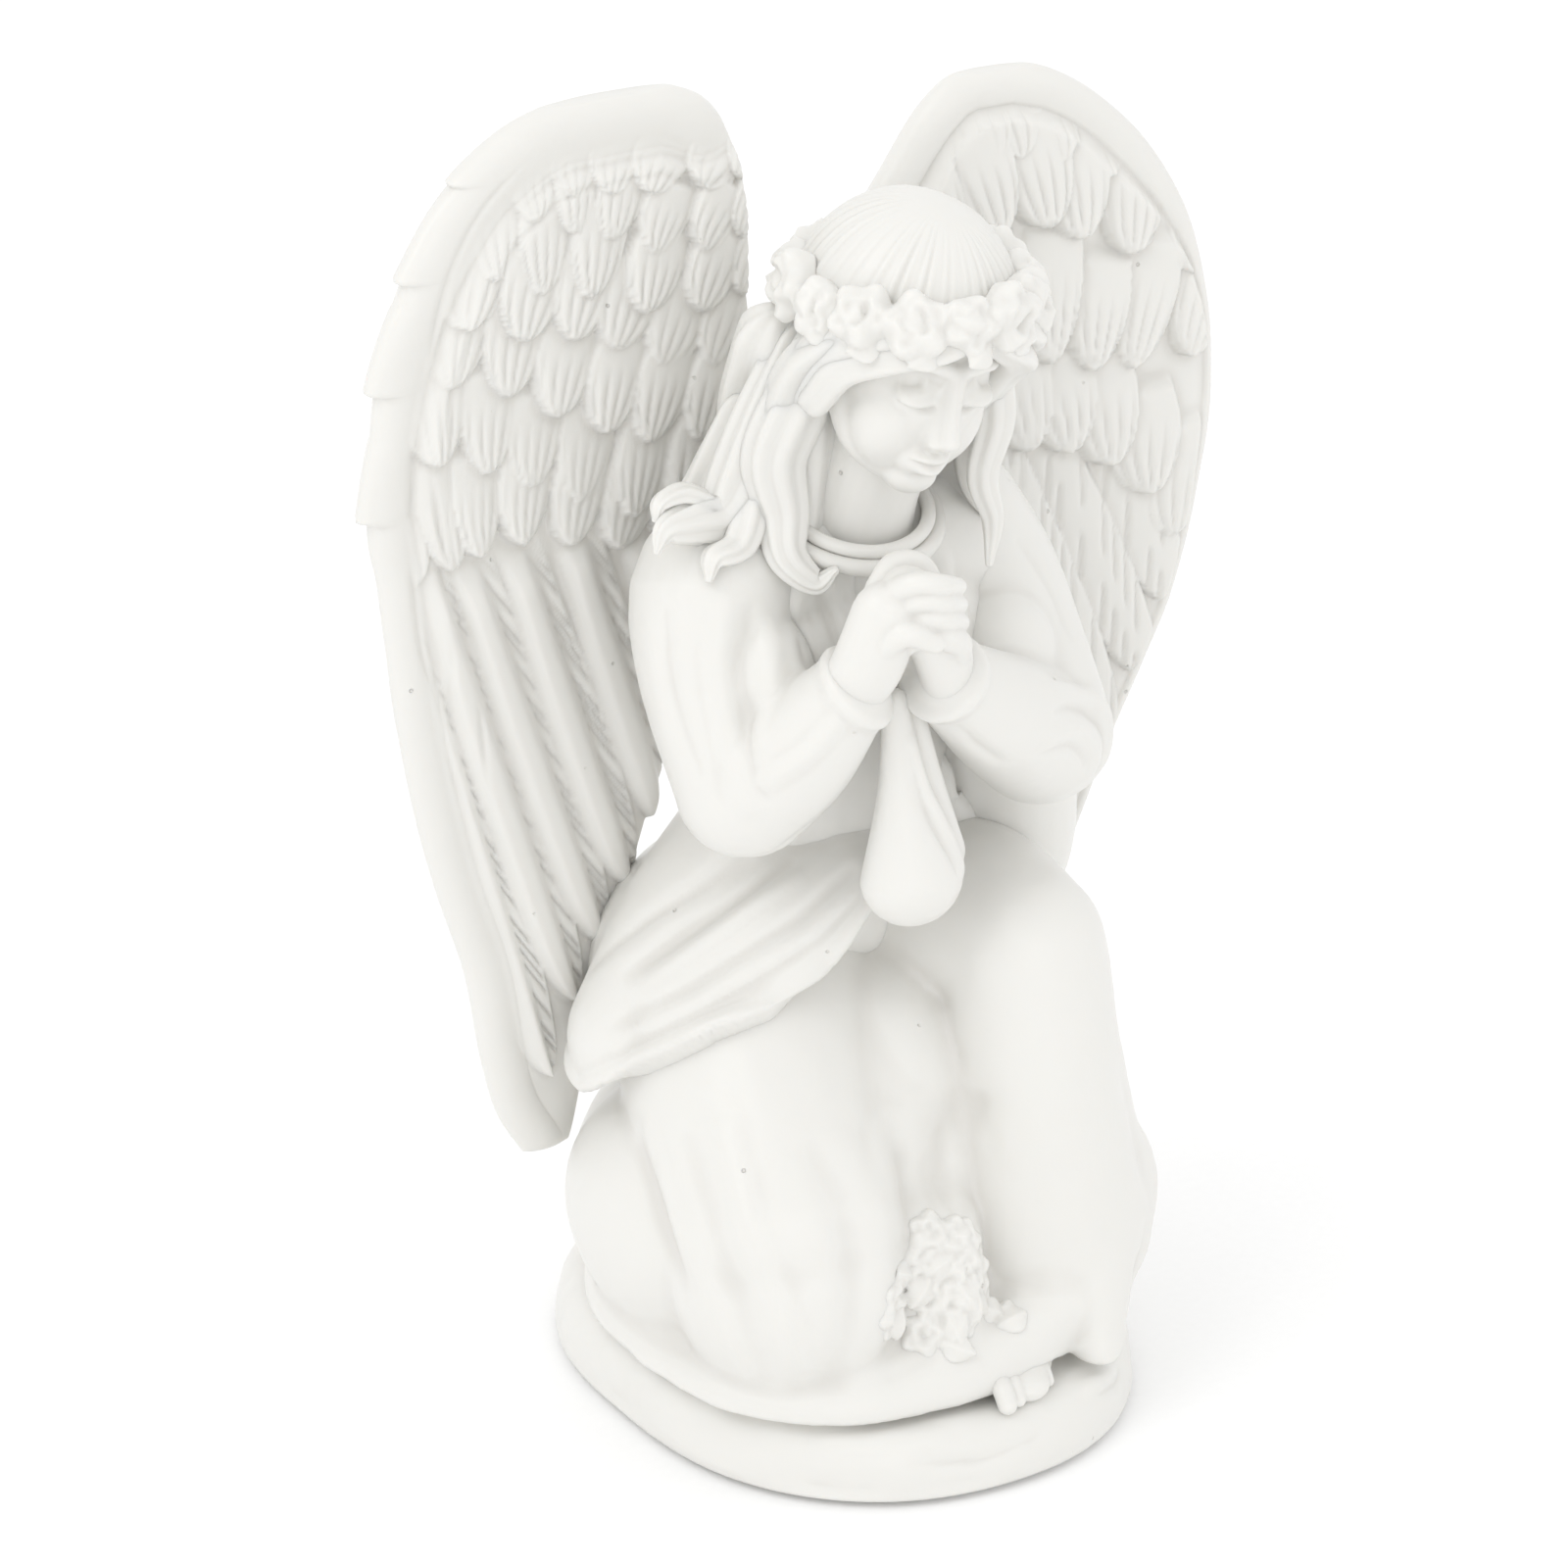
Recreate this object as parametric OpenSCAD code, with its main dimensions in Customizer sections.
// Kneeling angel figurine in cast white resin, on an oval rock plinth.
// Origin: centre of the face it rests on. +Z is up and the figure looks towards -Y.
// Its right side is at -X. Every section of the casting is a solid of its own.

/* [Plinth] */
// Width of the plinth, side to side
base_w = 58; // [52:1:70]
// Depth of the plinth, front to back
base_d = 68; // [62:1:82]
// Height of the plinth above the table
base_h = 8; // [6:0.5:12]
// How far the plinth's side leans in from foot to top
base_lean = 1.5; // [0.5:0.25:3]
// Thickness of the felt pad under the plinth
pad_t = 1.2; // [0.8:0.1:2]
// How far the felt pad stands proud of the plinth
pad_proud = 0.4; // [0.2:0.1:0.6]
// Distance from the plinth's edge to the felt pad
pad_inset = 4; // [3:0.5:8]

/* [Robe] */
// Height of the waist joint above the plinth
waist_h = 52; // [46:1:60]
// Radius of the hips under the robe
hip_r = 16; // [14:0.5:19]
// Radius of the robe over the kneeling right knee
knee_r = 13; // [11:0.5:15]
// Height of the raised left knee's centre above the plinth
left_knee_h = 45; // [40:0.5:48]
// Radius of the robe over the raised left knee
left_knee_r = 9; // [8:0.5:11]
// Thickness of the tunic's cloth over the robe
cloth_t = 1.6; // [1.2:0.1:2.4]
// Slope of the tunic's hem, up towards the left knee, in degrees
hem_slope = 34; // [26:1:42]

/* [Torso] */
// Height of the shoulder line above the waist joint
shoulder_h = 33; // [29:1:38]
// Half of the distance between the shoulder centres
shoulder_half = 13.5; // [12:0.5:16]
// Radius of each shoulder
shoulder_r = 8; // [7:0.5:10]
// Radius of the chest
chest_r = 13; // [11.5:0.5:15]
// Radius of a sleeve at the elbow
elbow_r = 8.5; // [7:0.5:10]
// Radius of a sleeve at the cuff
cuff_r = 5; // [4:0.25:6]

/* [Head] */
// Radius of the skull
skull_r = 11; // [9.5:0.5:12.5]
// Height of the skull's centre above the shoulder line
head_h = 30; // [27:0.5:34]
// How far the head leans forward of the neck
head_lean = 7.5; // [5:0.5:11]
// Radius of the neck
neck_r = 5; // [4:0.25:6]
// Thickness of the hair over the skull
hair_t = 2.2; // [1.4:0.1:3]
// Radius of the flower wreath's rope
wreath_rope_r = 2.6; // [2:0.1:3.4]

/* [Wings] */
// Height of a wing from its tip to its crest
wing_h = 118; // [100:1:130]
// Width of the right wing
wing_w = 47; // [40:1:54]
// Extra width of the left wing, which is spread wider
wing_spread = 5; // [0:0.5:8]
// How much lower the left wing's crest is
left_drop = 5; // [0:0.5:8]
// Greatest thickness of a wing
wing_t = 7; // [5.5:0.5:9]
// Height of a wing's tip above the plinth
wing_tip_h = 17; // [12:0.5:22]
// How far the wings' middle plane is behind the origin
wing_y = 14.5; // [13:0.5:18]

/* [Pins] */
// Radius of the locating pins
pin_r = 1.25; // [1:0.05:1.8]
// Radial clearance of a pin in its hole, filled by glue
pin_fit = 0.1; // [0.05:0.05:0.2]
// Gap left for glue between two sections
glue_gap = 0.1; // [0.05:0.05:0.2]

/* [Hidden] */
resin = "#f1f0ec";
felt = "#4b5a4c";
steel = "#b9bcc0";
round_fn = 18;
big = 300;
base_top = base_h;
waist_z = base_top + waist_h;
shoulder_z = waist_z + shoulder_h;
skull_z = shoulder_z + head_h;
neck_z = shoulder_z + 3;
end_r = base_w / 2;
end_y = base_d / 2 - end_r;
// Landmarks of the pose: a point and the radius of the cloth around it
hip_right = [-9, 9, base_top + 36];
hip_left = [8, 8, base_top + 38];
knee_right = [-15, -14.5, base_top + 16];
knee_left = [12, -17, base_top + left_knee_h];
shin_left = [14.5, -17.5, base_top + 13];
shin_left_r = 12;
// The hem spreads widest round the kneeling knee
hem_right = [-13, -11, base_top];
hem_r = 15.5;
hem_inset = 6.6;
hem_back_h = 12;
// The cloth that spans the two knees hangs this far inside their skin
web_sag = 3;
hem_front = -abs(end_y) - end_r + base_lean + hem_inset;
waist_at = [0, 7, waist_z];
waist_r = 13.5;
chest_at = [0, 1, shoulder_z - 9];
shoulder_y = 1;
elbow_right = [-18, -6, shoulder_z - 19];
elbow_left = [17, -9.5, shoulder_z - 20];
cuff_right = [-8.5, -19.5, shoulder_z - 6];
cuff_left = [0, -20.5, shoulder_z - 5];
skull_at = [2, -head_lean - 2.5, skull_z];
chin_at = skull_at + [-2.4, -6, -skull_r];
chin_r = 5.5;
neck_at = [-2, -2.5];
hem_at = [-12, 0, base_top + 38];
foot_toe = [3.5, -30.5, base_top + 2.2];
foot_toe_r = 2.6;
foot_heel = [9, -21, base_top + 4];
foot_heel_r = 4.2;
spray_low = [-4, hem_front + 1, base_top + 7];
spray_low_r = 4.5;
spray_high = [-1, hem_front + 4, base_top + 17];
spray_high_r = 3.5;
palm_right = cuff_right + [1, -2, 2];
palm_left = cuff_left + [-1, -2, 1];
palm_r = 3.6;
knuckles = [-6.5, -21.5, shoulder_z + 2];
knuckles_r = 4.4;
fingertips = [-7.5, -20, shoulder_z + 7];
fingertips_r = 2.6;
drape_top = [-4.5, -18.5, shoulder_z - 11];
drape_top_r = 3.4;
drape_end = [-4.5, -18, shoulder_z - 28];
drape_end_r = 6;
nape = skull_at + [0, 2, -8];
// Each lock runs from a root on the skull to an end on the shoulders or the back
lock_right = [skull_at + [-9, 4, -7], [-14.5, -2, shoulder_z + 6]];
lock_right_r = [5, 3.4];
lock_left = [skull_at + [8, 4, -7], [12, -5, shoulder_z + 4]];
lock_left_r = [4.5, 3];
lock_back = [skull_at + [0, 7, -4], [0, 6, shoulder_z + 4]];
lock_back_r = [9, 6.5];
// The opening in the hair for the face
face_open = skull_at + [-3, -skull_r - 2, -8];
face_open_size = [13, 16, 18];
face_open_pitch = -20;
collar_r = 8.6;
collar_rope_r = 1.3;
collar_tilt = 24;
collar_at = [neck_at.x, neck_at.y - 2, neck_z + 4];
wreath_at = skull_at + [-0.5, -0.5, 3.5];
wreath_tilt = -2;
wreath_sink = 0.8;
wreath_ring_r = skull_r + hair_t - wreath_sink;
pin_len = 12;
wing_root_x = 8;
wing_pin_len = 10;
wing_pin_z = [shoulder_z - 7, shoulder_z + 0.5];
base_pin_x = [-12, 8];

function side(wing) = wing == "right" ? -1 : 1;

// A ball of cloth or resin at a landmark
module ball(at, r) {
    translate(at) sphere(r = r, $fn = round_fn);
}

// The skin that covers two landmarks
module limb(a, ra, b, rb) {
    hull() {
        ball(a, ra);
        ball(b, rb);
    }
}

// An oval with round ends, as wide and deep as the plinth less the inset
module oval(inset, h, lean) {
    hull() {
        for (y = [-end_y, end_y]) {
            translate([0, y, 0]) cylinder(r1 = end_r - inset, r2 = end_r - inset - lean, h = h);
        }
    }
}

module pin(at, r, len) {
    translate(at) cylinder(r = r, h = len, center = true);
}

// A pin that runs front to back
module wing_pin(x, z, r, len) {
    translate([x, wing_y - wing_t / 2, z]) rotate([90, 0, 0]) cylinder(r = r, h = len, center = true);
}

module base_pin_row(r, len) {
    for (x = base_pin_x) pin([x, 0, base_top], r, len);
}

module wing_pin_row(x, r, len) {
    for (z = wing_pin_z) wing_pin(x, z, r, len);
}

// Everything below z
module below(z) {
    translate([-big / 2, -big / 2, z - big]) cube(big);
}

// Everything above z
module above(z) {
    translate([-big / 2, -big / 2, z]) cube(big);
}

// Both legs under the robe: kneeling on the right knee, left knee raised
module legs(grow) {
    hull() {
        ball(hip_right, hip_r + grow);
        ball(hip_left, hip_r + grow);
        translate([0, 0, base_top]) {
            for (y = [-end_y, end_y]) {
                translate([0, y, 0]) cylinder(r = end_r - base_lean - hem_inset + grow, h = hem_back_h);
            }
        }
        translate(hem_right) cylinder(r = hem_r + grow, h = 4);
    }
    limb(knee_right, knee_r + grow, hip_right, hip_r + grow);
    limb(knee_left, left_knee_r + grow, shin_left, shin_left_r + grow);
    limb(knee_left, left_knee_r + grow, hip_left, hip_r + grow);
    hull() {
        ball(knee_right, knee_r - web_sag + grow);
        ball(knee_left, left_knee_r - web_sag + grow);
        ball(shin_left, shin_left_r - web_sag + grow);
    }
}

module foot_form(grow) {
    limb(foot_toe, foot_toe_r + grow, foot_heel, foot_heel_r + grow);
}

module trunk(grow) {
    limb(waist_at, waist_r + grow, chest_at, chest_r + grow);
    hull() {
        ball(chest_at, chest_r + grow);
        ball([-shoulder_half, shoulder_y, shoulder_z], shoulder_r + grow);
        ball([shoulder_half, shoulder_y, shoulder_z], shoulder_r + grow);
    }
}

module arm(side_x, elbow, cuff, grow) {
    limb([side_x * shoulder_half, shoulder_y, shoulder_z - 1], shoulder_r + 1 + grow, elbow, elbow_r + grow);
    limb(elbow, elbow_r + grow, cuff, cuff_r + grow);
}

module hands_form(grow) {
    hull() {
        ball(palm_right, palm_r + grow);
        ball(palm_left, palm_r + grow);
        ball(knuckles, knuckles_r + grow);
        ball(fingertips, fingertips_r + grow);
    }
}

module skull(grow) {
    limb(skull_at, skull_r + grow, chin_at, chin_r + grow);
}

module neck(grow) {
    hull() {
        translate([neck_at.x, neck_at.y, neck_z - grow]) cylinder(r = neck_r + grow, h = 4);
        ball(nape, neck_r + grow);
    }
}

// A wing's outline: height, inner edge and outer edge, as shares of its height and width
right_rows = [
    [0.00, 0.50, 0.62], [0.05, 0.47, 0.69], [0.11, 0.45, 0.73], [0.20, 0.38, 0.77],
    [0.30, 0.29, 0.85], [0.42, 0.19, 0.92], [0.53, 0.09, 0.96], [0.60, 0.03, 0.98],
    [0.66, 0.01, 1.00], [0.78, 0.03, 0.97], [0.87, 0.03, 0.89], [0.94, 0.06, 0.77],
    [0.98, 0.12, 0.63], [1.00, 0.22, 0.50]];
left_rows = [
    [0.00, 0.50, 0.56], [0.05, 0.45, 0.60], [0.13, 0.39, 0.66], [0.27, 0.28, 0.76],
    [0.36, 0.20, 0.85], [0.43, 0.13, 0.92], [0.50, 0.09, 0.96], [0.60, 0.03, 1.00],
    [0.68, 0.00, 1.00], [0.76, 0.05, 0.97], [0.84, 0.14, 0.91], [0.91, 0.26, 0.80],
    [0.96, 0.34, 0.67], [0.99, 0.40, 0.58], [1.00, 0.44, 0.54]];
wing_ring = 16;
wing_root_gap = 1;
// The middle of the wing lies this far behind its edges
wing_bow = 2.4;
// Thickness at the tip and the crest, as a share
wing_end_share = 0.35;
// Exponent that makes the wing's section fuller than an oval
wing_full = 0.7;

function wing_rows(wing) = wing == "right" ? right_rows : left_rows;
function wing_tall(wing) = wing == "right" ? wing_h : wing_h - left_drop;
function wing_span(wing) = wing == "right" ? wing_w : wing_w + wing_spread;
function fuller(v) = sign(v) * pow(abs(v), wing_full);
function end_thin(share) = share == 0 || share == 1 ? wing_end_share : 1;
function wing_point(wing, row, a) =
    let (w = wing_span(wing), x0 = wing_root_gap + row[1] * w, x1 = wing_root_gap + row[2] * w,
        mid = (x0 + x1) / 2, half = (x1 - x0) / 2, across = min((cos(a) * half + mid) / w, 1))
    [side(wing) * (mid + half * cos(a)),
        wing_y + wing_bow * sin(180 * across) + fuller(sin(a)) * end_thin(row[0]) * wing_t / 2,
        base_top + wing_tip_h + row[0] * wing_tall(wing)];

module wing_blade(wing) {
    n = wing_ring;
    m = len(wing_rows(wing));
    points = [for (row = wing_rows(wing)) for (i = [0 : n - 1]) wing_point(wing, row, 360 * i / n)];
    low = [for (i = [0 : n - 1]) i];
    high = [for (i = [0 : n - 1]) (m - 1) * n + n - 1 - i];
    walls = [for (j = [0 : m - 2]) for (i = [0 : n - 1]) for (half = [0, 1])
        let (k = (i + 1) % n)
        half == 0 ? [j * n + i, (j + 1) * n + i, (j + 1) * n + k] : [j * n + i, (j + 1) * n + k, j * n + k]];
    faces = concat([low], [high], walls);
    flipped = [for (face = faces) [for (i = [len(face) - 1 : -1 : 0]) face[i]]];
    polyhedron(points = points, faces = wing == "right" ? flipped : faces);
}

module wing(name) {
    difference() {
        wing_blade(name);
        trunk(glue_gap);
        legs(glue_gap);
        wing_pin_row(side(name) * wing_root_x, pin_r + pin_fit, wing_pin_len);
    }
}

module base_rock() {
    color(resin) difference() {
        translate([0, 0, pad_proud]) oval(0, base_h - pad_proud, base_lean);
        translate([0, 0, -pad_proud]) oval(pad_inset - glue_gap, pad_t + pad_proud + glue_gap, 0);
        base_pin_row(pin_r + pin_fit, pin_len);
    }
}

module felt_pad() {
    color(felt) oval(pad_inset, pad_t, 0);
}

module base_pins() {
    color(steel) base_pin_row(pin_r, pin_len - 1);
}

module robe_skirt() {
    color(resin) difference() {
        legs(0);
        below(base_top + glue_gap);
        above(waist_z);
        base_pin_row(pin_r + pin_fit, pin_len);
        pin(waist_at, pin_r + pin_fit, pin_len);
    }
}

module left_foot() {
    color(resin) difference() {
        foot_form(0);
        below(base_top + glue_gap);
        legs(glue_gap);
    }
}

module flower_spray() {
    color(resin) difference() {
        limb(spray_low, spray_low_r, spray_high, spray_high_r);
        below(base_top + glue_gap);
        legs(glue_gap);
        foot_form(glue_gap);
    }
}

// The overskirt: a skin over the robe, from the waist down to a hem that rises to the left knee
module tunic() {
    color(resin) {
        difference() {
            legs(glue_gap + cloth_t);
            legs(glue_gap);
            above(waist_z);
            translate(hem_at) rotate([0, -hem_slope, 0]) below(0);
            left_arm_form(glue_gap);
            wing_blade("right");
            wing_blade("left");
        }
    }
}

module waist_pin() {
    color(steel) pin(waist_at, pin_r, pin_len - 1);
}

module torso() {
    color(resin) difference() {
        trunk(0);
        below(waist_z + glue_gap);
        translate([neck_at.x, neck_at.y, neck_z - glue_gap]) cylinder(r = neck_r + pin_fit, h = 30);
        pin(waist_at, pin_r + pin_fit, pin_len);
        pin([neck_at.x, neck_at.y, neck_z], pin_r + pin_fit, pin_len);
        for (s = [-1, 1]) wing_pin_row(s * wing_root_x, pin_r + pin_fit, wing_pin_len);
    }
}

module collar() {
    color(resin) difference() {
        translate(collar_at) rotate([collar_tilt, 0, 0]) {
            rotate_extrude() translate([collar_r, 0]) circle(r = collar_rope_r, $fn = 24);
        }
        trunk(glue_gap);
        neck(glue_gap);
    }
}

module right_arm_form(grow) {
    arm(-1, elbow_right, cuff_right, grow);
}

module left_arm_form(grow) {
    arm(1, elbow_left, cuff_left, grow);
}

module right_sleeve() {
    color(resin) difference() {
        right_arm_form(0);
        trunk(glue_gap);
        hands_form(glue_gap);
    }
}

module left_sleeve() {
    color(resin) {
        difference() {
            left_arm_form(0);
            trunk(glue_gap);
            hands_form(glue_gap);
            right_arm_form(glue_gap);
            legs(glue_gap);
        }
    }
}

module praying_hands() {
    color(resin) hands_form(0);
}

module hanging_drape() {
    color(resin) {
        difference() {
            limb(drape_top, drape_top_r, drape_end, drape_end_r);
            trunk(glue_gap);
            legs(glue_gap * 2 + cloth_t);
            left_arm_form(glue_gap);
            right_arm_form(glue_gap);
        }
    }
}

module neck_pin() {
    color(steel) pin([neck_at.x, neck_at.y, neck_z], pin_r, pin_len - 1);
}

module head() {
    color(resin) difference() {
        union() {
            skull(0);
            neck(0);
        }
        pin([neck_at.x, neck_at.y, neck_z], pin_r + pin_fit, pin_len);
    }
}

// Locks that fall on both shoulders and down the back
module locks(grow) {
    limb(lock_right[0], lock_right_r[0] + grow, lock_right[1], lock_right_r[1] + grow);
    limb(lock_left[0], lock_left_r[0] + grow, lock_left[1], lock_left_r[1] + grow);
    limb(lock_back[0], lock_back_r[0] + grow, lock_back[1], lock_back_r[1] + grow);
}

module hair() {
    color(resin) {
        difference() {
            union() {
                ball(skull_at, skull_r + hair_t);
                locks(0);
            }
            skull(glue_gap);
            neck(glue_gap);
            trunk(glue_gap);
            right_arm_form(glue_gap);
            left_arm_form(glue_gap);
            wing_blade("right");
            wing_blade("left");
            translate(collar_at) rotate([collar_tilt, 0, 0]) {
                cylinder(r = collar_r + collar_rope_r + glue_gap, h = 2 * collar_rope_r + 1, center = true);
            }
            translate(face_open) rotate([face_open_pitch, 0, 0]) cube(face_open_size, center = true);
        }
    }
}

module flower_wreath() {
    color(resin) difference() {
        translate(wreath_at) rotate([wreath_tilt, 0, 0]) {
            rotate_extrude() translate([wreath_ring_r, 0]) circle(r = wreath_rope_r, $fn = 24);
        }
        ball(skull_at, skull_r + hair_t + glue_gap);
        skull(glue_gap);
        locks(glue_gap);
    }
}

module wing_pins() {
    color(steel) {
        for (s = [-1, 1]) wing_pin_row(s * wing_root_x, pin_r, wing_pin_len - 1);
    }
}

module right_wing() {
    color(resin) wing("right");
}

module left_wing() {
    color(resin) wing("left");
}

base_rock();
felt_pad();
base_pins();
robe_skirt();
left_foot();
flower_spray();
tunic();
waist_pin();
torso();
collar();
right_sleeve();
left_sleeve();
praying_hands();
hanging_drape();
neck_pin();
head();
hair();
flower_wreath();
wing_pins();
right_wing();
left_wing();
